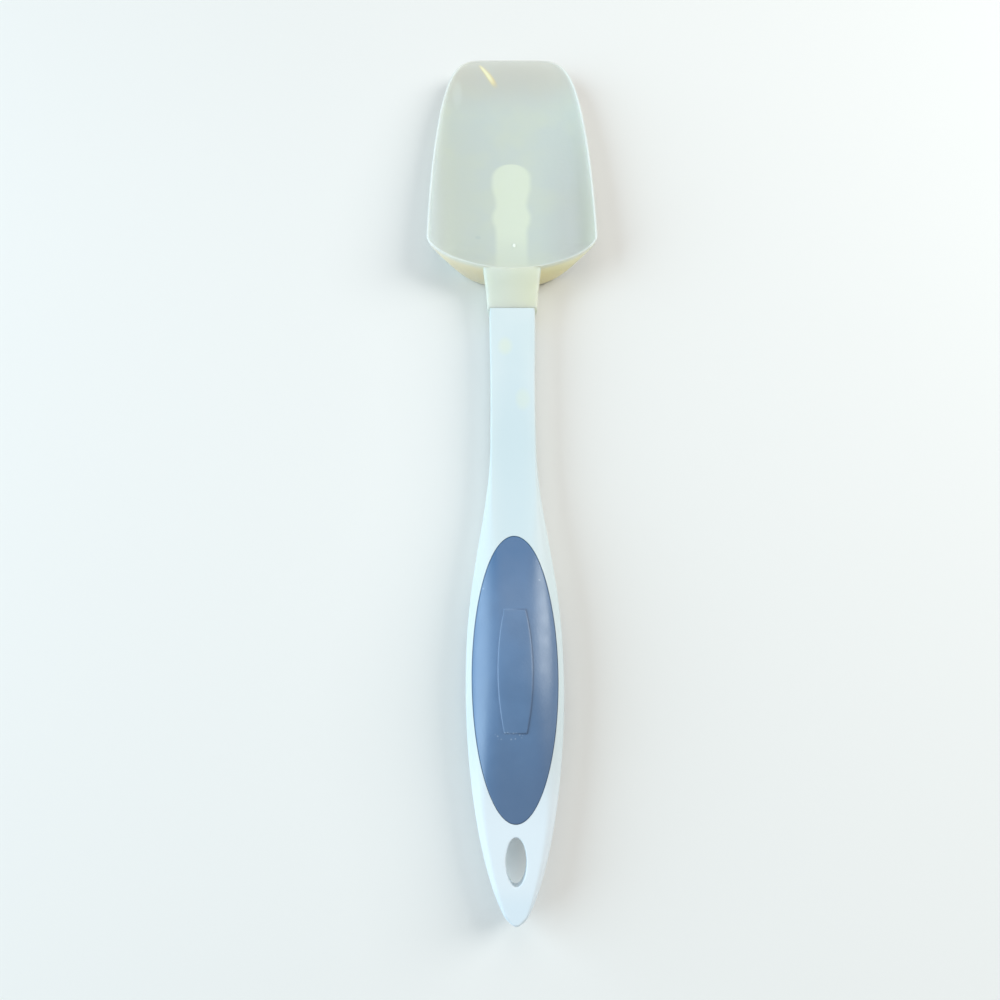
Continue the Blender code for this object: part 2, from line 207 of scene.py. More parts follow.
def section_point(turn, flat):
    """A point on the unit section. turn goes once round, from 0 to 1, and starts at the right."""
    from_middle = abs((4 * turn) % 2 - 1)
    past_flat = max((from_middle - STEPS_ON_FLAT) / (1 - STEPS_ON_FLAT), 0.0)
    bent = math.sin(math.pi / 2 * mix(from_middle, past_flat, min(flat / FULL_FLAT, 1.0)))
    on_flat = flat * min(from_middle / STEPS_ON_FLAT, 1.0)
    across = on_flat + (1 - flat) * bent ** (2 / SHOULDER_POWER)
    up = crown(across, flat)
    return across if turn < 0.25 or turn > 0.75 else -across, up if turn <= 0.5 else -up


def surface_height(x, s, side):
    """Height of the handle's front (side 1) or back (side -1)."""
    middle = (handle_front(s) + handle_back(s)) / 2
    half = (handle_front(s) - handle_back(s)) / 2
    return middle + side * half * crown(min(abs(x) * 2 / handle_width(s), 1.0), flat_share(s))


print("grip's skin at its middle in mm:", round(1000 * surface_height(0.0, GRIP_WIDEST, 1), 2))

# %% [markdown]
# ## A sheet rolled into a skin
#
# Each body here is one skin that closes on itself. A grid of faces is a good start: one direction
# runs along the body and the other goes once round it. When every point has its place, the two
# long edges lie on each other, and so do the points at each end. Removing the doubles closes them.
# Extruding ring after ring would give the same skin, but a grid needs only one function, which
# says where each point belongs.

# %% Rolled skin
SAME_POINT = 1e-7


def new_piece(name, bm):
    bmesh.ops.remove_doubles(bm, verts=bm.verts[:], dist=SAME_POINT)
    bmesh.ops.recalc_face_normals(bm, faces=bm.faces[:])
    if bm.calc_volume(signed=True) < 0:
        bmesh.ops.reverse_faces(bm, faces=bm.faces[:])
    mesh = bpy.data.meshes.new(name)
    bm.to_mesh(mesh)
    bm.free()
    piece = bpy.data.objects.new(name, mesh)
    bpy.context.scene.collection.objects.link(piece)
    return piece


def rolled_skin(name, rows, columns, place):
    """place(row, turn) gives a point. row counts from 0 to rows and turn goes from 0 to 1."""
    bm = bmesh.new()
    bmesh.ops.create_grid(bm, x_segments=rows, y_segments=columns, size=1.0)
    for vert in bm.verts:
        row = round((vert.co.x + 1) / 2 * rows)
        column = round((vert.co.y + 1) / 2 * columns)
        vert.co = place(row, (column % columns) / columns)
    return new_piece(name, bm)


def shade(piece, crease=35.0):
    """Smooth shading that keeps the edges that are sharper than the crease angle."""
    piece.data.shade_smooth()
    piece.data.set_sharp_from_angle(angle=math.radians(crease))
    print(piece.name, "has", len(piece.data.polygons), "faces")


# %% [markdown]
# ## The tang
#
# The handle doesn't stop where the spoon begins. A flat tongue with two rounded bulbs, the tang,
# runs on inside the soft spoon. The bulbs keep the spoon from pulling off, and they show through
# it as a paler shape. It belongs to the handle's own skin, because the two are one moulding.

# %% Tang
HEEL = 0.1998
RAMP_START, ROOT_END, NECK = HEEL - 0.0060, HEEL + 0.0070, HEEL + 0.0190
TANG_END = 0.2550
TANG_TURN = 0.0070
TANG_EDGE_TURN = 0.0011
TANG_FLAT = 0.66
ROOT_WIDTH, NECK_WIDTH = 0.0135, 0.0112
ROOT_BACK, NECK_BACK = 0.0033, 0.0014
ROOT_FRONT, NECK_FRONT = 0.0109, 0.0036
LOWER_BULB, LOWER_REACH, LOWER_GROWTH = 0.2290, 0.0065, 0.0028
UPPER_BULB, UPPER_REACH, UPPER_GROWTH = 0.2453, 0.0098, 0.0031


def bulb(s, centre, reach):
    return (1 + math.cos(math.pi * min(abs(s - centre) / reach, 1.0))) / 2


def tang_width(s):
    upper = 1.0 if s > UPPER_BULB else bulb(s, UPPER_BULB, UPPER_REACH)
    width = mix(ROOT_WIDTH, NECK_WIDTH, ease(s, ROOT_END, NECK))
    width += LOWER_GROWTH * bulb(s, LOWER_BULB, LOWER_REACH) + UPPER_GROWTH * upper
    return width * round_end(TANG_END - s, TANG_TURN)


def tang_section(s):
    back = mix(ROOT_BACK, NECK_BACK, ease(s, HEEL, NECK))
    front = mix(ROOT_FRONT, NECK_FRONT, ease(s, RAMP_START, NECK))
    middle = (back + front) / 2
    half = (front - back) / 2 * round_end(TANG_END - s, TANG_EDGE_TURN)
    return s, tang_width(s), middle - half, middle + half, TANG_FLAT


print("tang's upper bulb in mm:", round(1000 * tang_width(UPPER_BULB), 1))

# %% [markdown]
# ## The handle
#
# The handle is one moulding from its tail to the tang's end. Its stations stand closer together
# where the shape turns quickly: at the rounded tail, and at the tang's end.

# %% Handle stations
TAIL_EDGE_TURN = 0.0009
TAIL_CORNER = 0.0020
TANG_START = SHANK_END + 0.0002


def handle_section(s):
    middle = (handle_front(s) + handle_back(s)) / 2
    half = (handle_front(s) - handle_back(s)) / 2 * round_end(s, TAIL_EDGE_TURN)
    width = handle_width(s) * round_end(s, TAIL_CORNER)
    return s, width, middle - half, middle + half, flat_share(s)


tail_stations = [TAIL_TURN * (1 - math.cos(math.pi / 2 * k / 20)) for k in range(20)]
grip_stations = list(np.linspace(TAIL_TURN, SHANK_START, 108, endpoint=False))
shank_stations = list(np.linspace(SHANK_START, TANG_START, 16))
tang_stations = list(np.linspace(TANG_START, TANG_END - TANG_TURN, 48, endpoint=False))
tang_stations += [TANG_END - TANG_TURN * (1 - math.sin(math.pi / 2 * k / 14)) for k in range(15)]
sections = [handle_section(s) for s in tail_stations + grip_stations + shank_stations]
sections += [tang_section(s) for s in tang_stations]
print("the handle has", len(sections), "stations")


# %% Handle skin
def handle_place(row, turn):
    s, width, back, front, flat = sections[row]
    across, up = section_point(turn, flat)
    if row in (0, len(sections) - 1):
        across, up = 0.0, 0.0
    return across * width / 2, along(s), (back + front) / 2 + up * (front - back) / 2


handle = rolled_skin("handle_skin", len(sections) - 1, columns=112, place=handle_place)
print("handle skin:", len(handle.data.vertices), "points")

# %% [markdown]
# ## Cutting and joining
#
# The pockets and the hang hole are cut with Boolean modifiers, which are applied at once, so the
# cutters don't stay in the file.

# %% Boolean helper
def shape_with(piece, tool, operation):
    """Cuts the tool out of the piece, or joins it on, and removes the tool."""
    modifier = piece.modifiers.new(tool.name, "BOOLEAN")
    modifier.operation = operation
    modifier.solver = "EXACT"
    modifier.object = tool
    graph = bpy.context.evaluated_depsgraph_get()
    shaped = bpy.data.meshes.new_from_object(piece.evaluated_get(graph))
    piece.modifiers.clear()
    piece.data = shaped
    bpy.data.objects.remove(tool)
    print(operation.lower(), "left", len(shaped.vertices), "points")


# %% [markdown]
# ## The inlays and their pockets
#
# Each inlay is an oval plate that follows the grip's skin. It stands a hair proud in its middle
# and rolls down to a thin joint line at its edge. The pocket that it lies in is the same plate,
# a hair larger and raised clear of the grip. A profile says, ring by ring, which share of the
# oval a ring has, how far inside the edge it lies, and how far below the skin. Sinking some of the
# grip's own faces would be quicker, but their grid would give the oval a stepped edge.

# %% Inlay profiles
INLAY_MIDDLE = 0.0636
INLAY_HALF_LENGTH = 0.0395
INLAY_HALF_WIDTH = 0.0121
POCKET_DEPTH = 0.0022
JOINT_LINE = 0.00006
EDGE_ROLL = 0.0004
CROWN_POWER = 6
RINGS, ROLL_RINGS, FLOOR_RINGS = 30, 8, 12


def shares(count):
    """Shares of the oval from its middle to its edge, closer together near the edge."""
    return [math.sin(math.pi / 2 * k / count) for k in range(count + 1)]


def inlay_profile():
    face = [(share, EDGE_ROLL, -INLAY_CROWN * (1 - share**CROWN_POWER)) for share in shares(RINGS)]
    turns = [math.pi / 2 * k / ROLL_RINGS for k in range(1, ROLL_RINGS + 1)]
    roll = [(1.0, EDGE_ROLL * (1 - math.sin(a)), EDGE_ROLL * (1 - math.cos(a))) for a in turns]
    floor = [(share, 0.0, POCKET_DEPTH - JOINT_LINE) for share in reversed(shares(FLOOR_RINGS))]
    return face + roll + floor


def pocket_profile():
    above = [(share, 0.0, -POCKET_DEPTH) for share in shares(RINGS)]
    return above + [(share, 0.0, POCKET_DEPTH) for share in reversed(shares(RINGS))]


print("rings in an inlay:", len(inlay_profile()), "and in a pocket:", len(pocket_profile()))


# %% Oval plate
def oval_plate(name, side, gap, profile):
    """An oval plate along the front (side 1) or back (side -1) of the grip."""
    def place(row, turn):
        share, inset, drop = profile[row]
        x = (INLAY_HALF_WIDTH - gap - inset) * share * math.cos(math.tau * turn)
        s = INLAY_MIDDLE + (INLAY_HALF_LENGTH - gap - inset) * share * math.sin(math.tau * turn)
        return x, along(s), surface_height(x, s, side) - side * drop

    return rolled_skin(name, len(profile) - 1, columns=144, place=place)


for side, name in ((1, "front_pocket"), (-1, "rear_pocket")):
    shape_with(handle, oval_plate(name, side, 0.0, pocket_profile()), "DIFFERENCE")

# %% [markdown]
# ## The hang hole
#
# The hole is a tall oval with softly rounded lips. The tool that cuts it is a spool: straight in
# its waist and flaring like a trumpet at both faces of the tail. So one cut makes the hole and its
# lips, where a bevel would have to follow the uneven edges that a cut leaves.

# %% Hang hole
HOLE_MIDDLE = 0.0152
HOLE_HALF_LENGTH = 0.0058
HOLE_HALF_WIDTH = 0.00275
LIP = 0.0003


def spool_profile():
    """Pairs of height and extra half width, from the back of the tail to its front."""
    turns = np.linspace(0, math.pi / 2, 9)
    lip = [(LIP * (1 - math.cos(a)), LIP * (1 - math.sin(a))) for a in turns]
    back = [(TAIL_BACK + drop, extra) for drop, extra in lip]
    front = [(TAIL_FRONT - drop, extra) for drop, extra in reversed(lip)]
    return [(TAIL_BACK - LIP, LIP)] + back + front + [(TAIL_FRONT + LIP, LIP)]


spool = spool_profile()


def spool_place(row, turn):
    height, extra = spool[min(max(row - 1, 0), len(spool) - 1)]
    wide = 0.0 if row in (0, len(spool) + 1) else 1.0
    x = (HOLE_HALF_WIDTH + extra) * math.cos(math.tau * turn) * wide
    s = HOLE_MIDDLE + (HOLE_HALF_LENGTH + extra) * math.sin(math.tau * turn) * wide
    return x, along(s), height


hole_spool = rolled_skin("hole_spool", len(spool) + 1, columns=72, place=spool_place)
shape_with(handle, hole_spool, "DIFFERENCE")
shade(handle)

# %% [markdown]
# ## The soft inlays and the bare plaque
#
# The front inlay carries a low plaque with straight ends and bowed sides. It stays bare. It starts
# as a flat grid that is extruded and bevelled, and then it is bent onto the crowned inlay. The
# bend comes last, because a bevel is easiest to keep even on a flat piece.

# %% Inlay pieces
front_inlay = oval_plate("front_inlay", 1, JOINT_LINE, inlay_profile())
rear_inlay = oval_plate("rear_inlay", -1, JOINT_LINE, inlay_profile())
print("inlay points:", len(front_inlay.data.vertices))

# %% Plaque
PLAQUE_HALF_LENGTH = 0.0168
PLAQUE_WIDTH = 0.0098
PLAQUE_END_WIDTH = 0.0062
PLAQUE_RISE = 0.00035
PLAQUE_ROOT = 0.0006
PLAQUE_BEVEL = 0.00022


def plaque():
    bm = bmesh.new()
    bmesh.ops.create_grid(bm, x_segments=16, y_segments=56, size=1.0)
    for vert in bm.verts:
        bow = 1 - vert.co.y * vert.co.y
        vert.co.x *= mix(PLAQUE_END_WIDTH, PLAQUE_WIDTH, bow) / 2
        vert.co.y *= PLAQUE_HALF_LENGTH
    grown = bmesh.ops.extrude_face_region(bm, geom=bm.faces[:])["geom"]
    top = [item for item in grown if isinstance(item, bmesh.types.BMVert)]
    bmesh.ops.translate(bm, verts=top, vec=(0.0, 0.0, PLAQUE_RISE + PLAQUE_ROOT))
    high = set(top)
    # The rim's edges turn by a right angle, and the rest of the top is flat.
    rim = [e for e in bm.edges if high.issuperset(e.verts) and e.calc_face_angle(0.0) > 1.0]
    bmesh.ops.bevel(bm, geom=rim, offset=PLAQUE_BEVEL, segments=3, profile=0.5,
                    affect="EDGES", material=-1)
    for vert in bm.verts:
        s = INLAY_MIDDLE + vert.co.y
        lift = vert.co.z - PLAQUE_ROOT + INLAY_CROWN
        vert.co = (vert.co.x, along(s), surface_height(vert.co.x, s, 1) + lift)
    return new_piece("plaque", bm)


shape_with(front_inlay, plaque(), "UNION")
shade(front_inlay, crease=40.0)
shade(rear_inlay, crease=40.0)

# %% [markdown]
# ## The spoon's outline
#
# From above, the spoon has a round heel, nearly straight sides that draw in, and a squarish tip.
# One rounding power shapes the heel and another the tip, so no list of traced points is needed.
# The points of the outline are shared out by length and by turning, so the tight corners get as
# many as the long sides.

# %% Spoon outline
BOWL_LENGTH = 0.1052
BOWL_WIDTH = 0.0600
TIP_WIDTH = 0.0487
WIDEST = HEEL + 0.0145
HEEL_POWER = 1.75
TIP_POWER = 7


def bowl_half_width(s):
    if s < WIDEST:
        part = min((WIDEST - s) / (WIDEST - HEEL), 1.0)
        return BOWL_WIDTH / 2 * (1 - part**HEEL_POWER) ** (1 / HEEL_POWER)
    part = min((s - WIDEST) / (LENGTH - WIDEST), 1.0)
    squareness = (1 - part**TIP_POWER) ** (1 / TIP_POWER)
    return mix(BOWL_WIDTH, TIP_WIDTH, part * part) / 2 * squareness


def bowl_outline(count):
    """Points round the outline, as an array of x and station. The last one is the first again."""
    sweep = np.linspace(0.0, math.pi, 601)
    stations = HEEL + BOWL_LENGTH * (1 - np.cos(sweep)) / 2
    half = np.array([bowl_half_width(s) for s in stations])
    loop = np.column_stack([np.append(half, -half[-2::-1]), np.append(stations, stations[-2::-1])])
    runs = np.diff(loop, axis=0)
    heading = np.unwrap(np.arctan2(runs[:, 1], runs[:, 0]))
    turned = np.abs(np.diff(heading, prepend=heading[0]))
    walked = np.append(0.0, np.cumsum(np.hypot(*runs.T) / BOWL_WIDTH * 2 + turned))
    evenly = np.linspace(0.0, walked[-1], count + 1)
    x, s = (np.interp(evenly, walked, column) for column in loop.T)
    return np.column_stack([x, s])


# %% Outline drawn in
def drawn_in(outline, distance):
    """The outline moved inwards, square to itself."""
    ring = outline[:-1]
    run = np.roll(ring, -1, axis=0) - np.roll(ring, 1, axis=0)
    inward = np.column_stack([-run[:, 1], run[:, 0]]) / np.hypot(*run.T)[:, None]
    moved = ring + inward * distance
    return np.vstack([moved, moved[:1]])


AROUND = 256
RIM = 0.0007
outer_edge = bowl_outline(AROUND)
inner_edge = drawn_in(outer_edge, RIM)
print("widest in mm:", round(1000 * (outer_edge[:, 0].max() - outer_edge[:, 0].min()), 1))

# %% [markdown]
# ## The spoon's skin
#
# The skin starts in the middle of the hollow, climbs to the rim, rounds over it, and runs down to
# the middle of the back. Three powers, for the heel, the sides and the tip, set how square each
# wall bends: steep at the heel's outside, gentle under the sides. The back would reach a little
# below the table, and what lies under it is pressed flat, which is what the spoon rests on.
# Thickening a sheet would be shorter, but the hollow and the back of this spoon bend differently.

# %% Spoon heights
BOWL_MIDDLE = HEEL + 0.0250
HEEL_RIM = 0.0136
TIP_RIM = 0.0080
RIM_POWER = 1.5
FLOOR = 0.0050
HEEL_BENDS = (0.01375, 0.0250)


def rim_height(s):
    part = min(max((s - HEEL) / BOWL_LENGTH, 0.0), 1.0)
    return mix(HEEL_RIM, TIP_RIM, part**RIM_POWER)


def bend(powers, s):
    heel, side, tip = powers
    to_heel = ease(BOWL_MIDDLE - s, *HEEL_BENDS)
    return mix(side * (heel / side) ** to_heel, tip, ease(s, BOWL_MIDDLE, LENGTH))


print("rim at the heel and tip in mm:", 1000 * rim_height(HEEL), 1000 * rim_height(LENGTH))

# %% Spoon skin
HOLLOW_ROWS, RIM_ROWS, BACK_ROWS = 44, 8, 40
SPOON_ROWS = HOLLOW_ROWS + RIM_ROWS + BACK_ROWS
HOLLOW_POWERS = (2.4, 4.0, 2.2)
BACK_POWERS = (26.0, 1.8, 2.0)
BACK_CUT = 0.0008


def wall_point(edge, part, powers, depth):
    x = edge[0] * part
    s = mix(BOWL_MIDDLE, edge[1], part)
    rim = rim_height(s) - RIM / 2
    fall = (rim - depth) * math.sqrt(max(1 - part ** bend(powers, edge[1]), 0.0))
    return x, along(s), max(rim - fall, 0.0)


def spoon_place(row, turn):
    step = round(turn * AROUND)
    inner, outer = inner_edge[step], outer_edge[step]
    if row <= HOLLOW_ROWS:
        part = math.sin(math.pi / 2 * row / HOLLOW_ROWS)
        return wall_point(inner, part, HOLLOW_POWERS, FLOOR)
    if row <= HOLLOW_ROWS + RIM_ROWS:
        angle = math.pi * (row - HOLLOW_ROWS) / RIM_ROWS
        x, s = inner + (outer - inner) * (1 - math.cos(angle)) / 2
        return x, along(s), rim_height(s) - RIM / 2 * (1 - math.sin(angle))
    part = math.sin(math.pi / 2 * (SPOON_ROWS - row) / BACK_ROWS)
    return wall_point(outer, part, BACK_POWERS, -BACK_CUT)


spoon = rolled_skin("spoon_skin", SPOON_ROWS, AROUND, spoon_place)
print("spoon skin:", len(spoon.data.vertices), "points")

# %% [markdown]
# ## The collar
#
# The collar is the sleeve that the soft plastic makes round the handle's end. It is cut straight
# at its mouth, with a small rounded edge, and it is a little wider at its front than at its back.
# Towards the spoon it grows wider and deeper, and its face climbs to the rim, so the two run
# into each other. It is a skin of its own, joined on, because one grid would have to fold to turn
# from the bowl into the sleeve.

# %% Collar
COLLAR_LENGTH = 0.0148
COLLAR_BURIED = 0.0155
COLLAR_BACK = 0.0020
COLLAR_FRONT = 0.0122
COLLAR_GAP = 0.0002
COLLAR_FLAT = 0.90
COLLAR_WIDENS = 0.0019
COLLAR_DEEPENS = 0.0009
GROWTH_POWER = 1.5
FRONT_EXTRA_AT_MOUTH, FRONT_EXTRA_AT_HEEL = 0.0008, 0.0003
BACK_LEAN = 0.45
CLIMB_START, CLIMB = 0.0070, 0.00038
MOUTH_TURN = 0.0001
collar_reaches = [0.0] + [MOUTH_TURN * (1 - math.cos(math.pi / 2 * k / 5)) for k in range(6)]
collar_reaches += list(np.linspace(0.0010, COLLAR_LENGTH, 24)) + [COLLAR_BURIED, COLLAR_BURIED]


def collar_place(row, turn):
    reach = collar_reaches[row]
    grown = (reach / COLLAR_LENGTH) ** GROWTH_POWER
    drawn = MOUTH_TURN * (1 - round_end(reach, MOUTH_TURN))
    half_depth = (COLLAR_FRONT - COLLAR_BACK) / 2 + COLLAR_DEEPENS * min(grown, 1.0) - drawn
    across, up = section_point(turn, COLLAR_FLAT)
    spread = mix(FRONT_EXTRA_AT_MOUTH, FRONT_EXTRA_AT_HEEL, grown) * ease(up, -0.2, 1.0)
    half_width = SHANK_END_WIDTH / 2 + COLLAR_GAP + COLLAR_WIDENS * grown + spread - drawn
    if row in (0, len(collar_reaches) - 1):
        across, up = 0.0, 0.0
    slant = BACK_LEAN * (1 - up) * half_depth * (reach / COLLAR_BURIED) ** 3
    climb = CLIMB * max(up, 0.0) * ease(reach, CLIMB_START, COLLAR_LENGTH)
    middle = (COLLAR_FRONT + COLLAR_BACK) / 2
    return across * half_width, along(SHANK_END + reach + slant), middle + up * half_depth + climb


collar = rolled_skin("collar_skin", len(collar_reaches) - 1, columns=96, place=collar_place)
shape_with(spoon, collar, "UNION")
shade(spoon, crease=32.0)

# %% [markdown]
# ## The gate mark
#
# Where the soft plastic entered its mould, a small nub is left in the hollow, over the tang, with a
# painted highlight on its top. A squashed sphere, set a little into the floor, is enough.

# %% Gate mark
GATE_X, GATE_STATION = 0.0009, 0.2163
GATE_RADII = (0.0006, 0.0010, 0.0002)


def hollow_height(x, s):
    """The hollow's height, found with a ray from above."""
    bpy.context.view_layer.update()
    hit, point, _, _ = spoon.ray_cast((x, along(s), 0.05), (0.0, 0.0, -1.0))
    return point.z if hit else FLOOR


def gate_mark(x, s):
    bm = bmesh.new()
    bmesh.ops.create_uvsphere(bm, u_segments=32, v_segments=16, radius=1.0)
    bmesh.ops.scale(bm, verts=bm.verts[:], vec=GATE_RADII)
    bmesh.ops.translate(bm, verts=bm.verts[:], vec=(x, along(s), hollow_height(x, s)))
    return new_piece("gate_mark", bm)


gate = gate_mark(GATE_X, GATE_STATION)
shade(gate)

# %% [markdown]
# ## Helpers for the finishes
#
# Each finish is a small tree of nodes. `feed` puts a number or another node's output into a
# socket, and the rest name the few operations that the finishes share. Masks run from 0 to 1, so
# `times` keeps what lies in all of them. Colours are given as they look on a screen and turned
# into the linear values that the shader wants.

# %% Colours and sockets
def screen(red, green, blue):
    """A screen colour, 0 to 255, as linear values."""
    parts = [value / 255 for value in (red, green, blue)]
    return [p / 12.92 if p <= 0.04045 else ((p + 0.055) / 1.055) ** 2.4 for p in parts] + [1.0]


def feed(socket, value):
    if isinstance(value, bpy.types.NodeSocket):
        socket.id_data.links.new(value, socket)
    else:
        socket.default_value = value


print("half-way grey as linear light:", round(screen(128, 128, 128)[0], 3))


# %% Sums and mixes
def calc(tree, operation, *values):
    node = tree.nodes.new("ShaderNodeMath")
    node.operation = operation
    for socket, value in zip(node.inputs, values):
        feed(socket, value)
    return node.outputs[0]


def times(tree, first, *others):
    """Multiplies the values."""
    for other in others:
        first = calc(tree, "MULTIPLY", first, other)
    return first


def fade(tree, value, low, high, start=0.0, end=1.0):
    """Goes smoothly from start to end while the value goes from low to high."""
    node = tree.nodes.new("ShaderNodeMapRange")
    node.interpolation_type = "SMOOTHSTEP"
    for socket, number in zip(node.inputs, (value, low, high, start, end)):
        feed(socket, number)
    return node.outputs[0]


def tint(tree, share, first, second):
    """Mixes two colours. The node keeps them in sockets 6 and 7, and the result in socket 2."""
    node = tree.nodes.new("ShaderNodeMix")
    node.data_type = "RGBA"
    feed(node.inputs[0], share)
    feed(node.inputs[6], first)
    feed(node.inputs[7], second)
    return node.outputs[2]


# %% Patterns and masks
def cloud(tree, place, size, detail=2.0, seed=0.0):
    """Soft random patches of about this size, from 0 to 1."""
    node = tree.nodes.new("ShaderNodeTexNoise")
    node.noise_dimensions = "4D"
    feed(node.inputs["Vector"], place)
    feed(node.inputs["W"], seed)
    feed(node.inputs["Scale"], 1 / size)
    feed(node.inputs["Detail"], detail)
    return node.outputs[0]


def spot(tree, x, y, centre, reach):
    """1 at a place in the plan, fading to 0 at the oval's edge."""
    off_x = calc(tree, "DIVIDE", calc(tree, "SUBTRACT", x, centre[0]), reach[0])
    off_y = calc(tree, "DIVIDE", calc(tree, "SUBTRACT", y, centre[1]), reach[1])
    squared = calc(tree, "ADD", times(tree, off_x, off_x), times(tree, off_y, off_y))
    return fade(tree, squared, 0.0, 1.0, 1.0, 0.0)


# %% A new finish
def new_finish(name, roughness):
    """A material with its shader, its object coordinates and their three parts."""
    made = bpy.data.materials.new(name)
    made.use_nodes = True
    tree = made.node_tree
    shader = tree.nodes["Principled BSDF"]
    shader.inputs["Roughness"].default_value = roughness
    place = tree.nodes.new("ShaderNodeTexCoord")
    parts = tree.nodes.new("ShaderNodeSeparateXYZ")
    tree.links.new(place.outputs["Object"], parts.inputs[0])
    return made, tree, shader, place.outputs["Object"], list(parts.outputs)


def vary_roughness(tree, shader, pattern, low, high):
    """Lets the gloss wander between two roughnesses, as handling leaves it."""
    feed(shader.inputs["Roughness"], fade(tree, pattern, 0.3, 0.7, low, high))


def roughen(tree, shader, height, depth):
    """Raises the surface by a pattern of this depth."""
    node = tree.nodes.new("ShaderNodeBump")
    node.inputs["Distance"].default_value = depth
    feed(node.inputs["Height"], height)
    feed(shader.inputs["Normal"], node.outputs[0])


# %% [markdown]
# ## The spoon's milky plastic
#
# The soft plastic is cloudy, a grey-green white, and light wanders a little way inside it. The
# tang could be left to show through real, scattering plastic, but that is slow to render. So its
# paler shape is drawn by its own width: a curve node holds the half width along Y, and the colour
# changes where a point lies inside it. The gate mark is the same plastic, only glossier, with a
# painted highlight on its top. Painted shade on the walls, a painted warm reflection on the heel
# and painted highlights on the rim and near the tip are in the colour too.

# %% Tang seen through the plastic
SEEN_START = HEEL + 0.0020
SEEN_END = 0.2541
SEEN_NECK_WIDTH = 0.0113
SEEN_UPPER, SEEN_UPPER_REACH, SEEN_UPPER_GROWTH = 0.2446, 0.0100, 0.0030
SEEN_LOWER_GROWTH = 0.0026
CURVE_SCALE = 100


def seen_half_width(s):
    """Half the width of the tang's paler shape at the hollow's floor."""
    upper = 1.0 if s > SEEN_UPPER else bulb(s, SEEN_UPPER, SEEN_UPPER_REACH)
    grown = SEEN_LOWER_GROWTH * bulb(s, LOWER_BULB, LOWER_REACH) + SEEN_UPPER_GROWTH * upper
    return (SEEN_NECK_WIDTH + grown) / 2 * round_end(SEEN_END - s, TANG_TURN)


def tang_glow(tree, x, y):
    """1 where the tang shows through, with soft edges."""
    curve = tree.nodes.new("ShaderNodeFloatCurve")
    points = curve.mapping.curves[0].points
    points[0].location = (0.0, CURVE_SCALE * seen_half_width(SEEN_START))
    points[1].location = (1.0, 0.0)
    for step in [math.sin(math.pi / 2 * k / 28) for k in range(1, 28)]:
        points.new(step, CURVE_SCALE * seen_half_width(mix(SEEN_START, SEEN_END, step)))
    curve.mapping.update()
    from_start = calc(tree, "SUBTRACT", y, along(SEEN_START))
    feed(curve.inputs["Value"], calc(tree, "DIVIDE", from_start, SEEN_END - SEEN_START))
    half_width = calc(tree, "DIVIDE", curve.outputs[0], CURVE_SCALE)
    within = calc(tree, "SUBTRACT", half_width, calc(tree, "ABSOLUTE", x))
    inside = fade(tree, within, -0.0012, 0.0012)
    before_end = fade(tree, y, along(SEEN_END) - 0.0007, along(SEEN_END) + 0.0006, 1.0, 0.0)
    under_ramp = fade(tree, y, along(0.2080), along(0.2240), 0.60, 1.0)
    return times(tree, inside, before_end, under_ramp)


print("the lower bulb shows", round(2000 * seen_half_width(LOWER_BULB), 1), "mm wide")


# %% Rim and streak
def rim_light(tree, y, z):
    """1 along the bowl's rim, which falls from the heel to the tip."""
    part = calc(tree, "DIVIDE", calc(tree, "SUBTRACT", y, along(HEEL)), BOWL_LENGTH)
    fallen = calc(tree, "POWER", calc(tree, "MAXIMUM", part, 0.0), RIM_POWER)
    rim = calc(tree, "SUBTRACT", HEEL_RIM, times(tree, fallen, HEEL_RIM - TIP_RIM))
    near = fade(tree, calc(tree, "SUBTRACT", rim, z), 0.0002, 0.0008, 1.0, 0.0)
    return times(tree, near, fade(tree, y, along(0.2030), along(0.2150), 0.15, 1.0))


def streak(tree, x, y, start, end, width, bow):
    """A thin slanted line from start to end that bows to one side."""
    run_x, run_y = end[0] - start[0], end[1] - start[1]
    length = math.hypot(run_x, run_y)
    from_x = calc(tree, "SUBTRACT", x, start[0])
    from_y = calc(tree, "SUBTRACT", y, start[1])
    forward = calc(tree, "ADD", times(tree, from_x, run_x / length**2),
                   times(tree, from_y, run_y / length**2))
    aside = calc(tree, "SUBTRACT", times(tree, from_x, run_y / length),
                 times(tree, from_y, run_x / length))
    bent = times(tree, forward, calc(tree, "SUBTRACT", 1.0, forward), 4 * bow)
    off = calc(tree, "ABSOLUTE", calc(tree, "ADD", aside, bent))
    widening = fade(tree, forward, 0.0, 0.6, 0.6, 1.1)
    beside = fade(tree, calc(tree, "DIVIDE", off, widening), width * 0.2, width, 1.0, 0.0)
    begins = fade(tree, forward, 0.0, 0.25)
    ends = fade(tree, forward, 0.65, 1.1, 1.0, 0.0)
    return times(tree, begins, ends, beside)


# %% Heel
def heel_amber(tree, y):
    """1 on the outside of the heel's wall, which faces the tail."""
    facing = tree.nodes.new("ShaderNodeSeparateXYZ")
    coordinates = tree.nodes.new("ShaderNodeTexCoord")
    tree.links.new(coordinates.outputs["Normal"], facing.inputs[0])
    away = fade(tree, facing.outputs[1], -0.85, -0.15, 1.0, 0.0)
    past_collar = fade(tree, y, along(0.1975), along(0.1995))
    near_heel = fade(tree, y, along(0.2080), along(0.2200), 1.0, 0.0)
    return times(tree, away, past_collar, near_heel)


# %% Colour of the bowl
# Painted shade: lighter and darker tints for the walls on each side, strongest near the heel.
PAINTED_WALL_SHADE = ((0.008, 0.026, (202, 203, 199)), (0.021, 0.029, (188, 190, 178)),
         (-0.008, -0.022, (208, 214, 205)), (-0.022, -0.029, (200, 206, 203)))


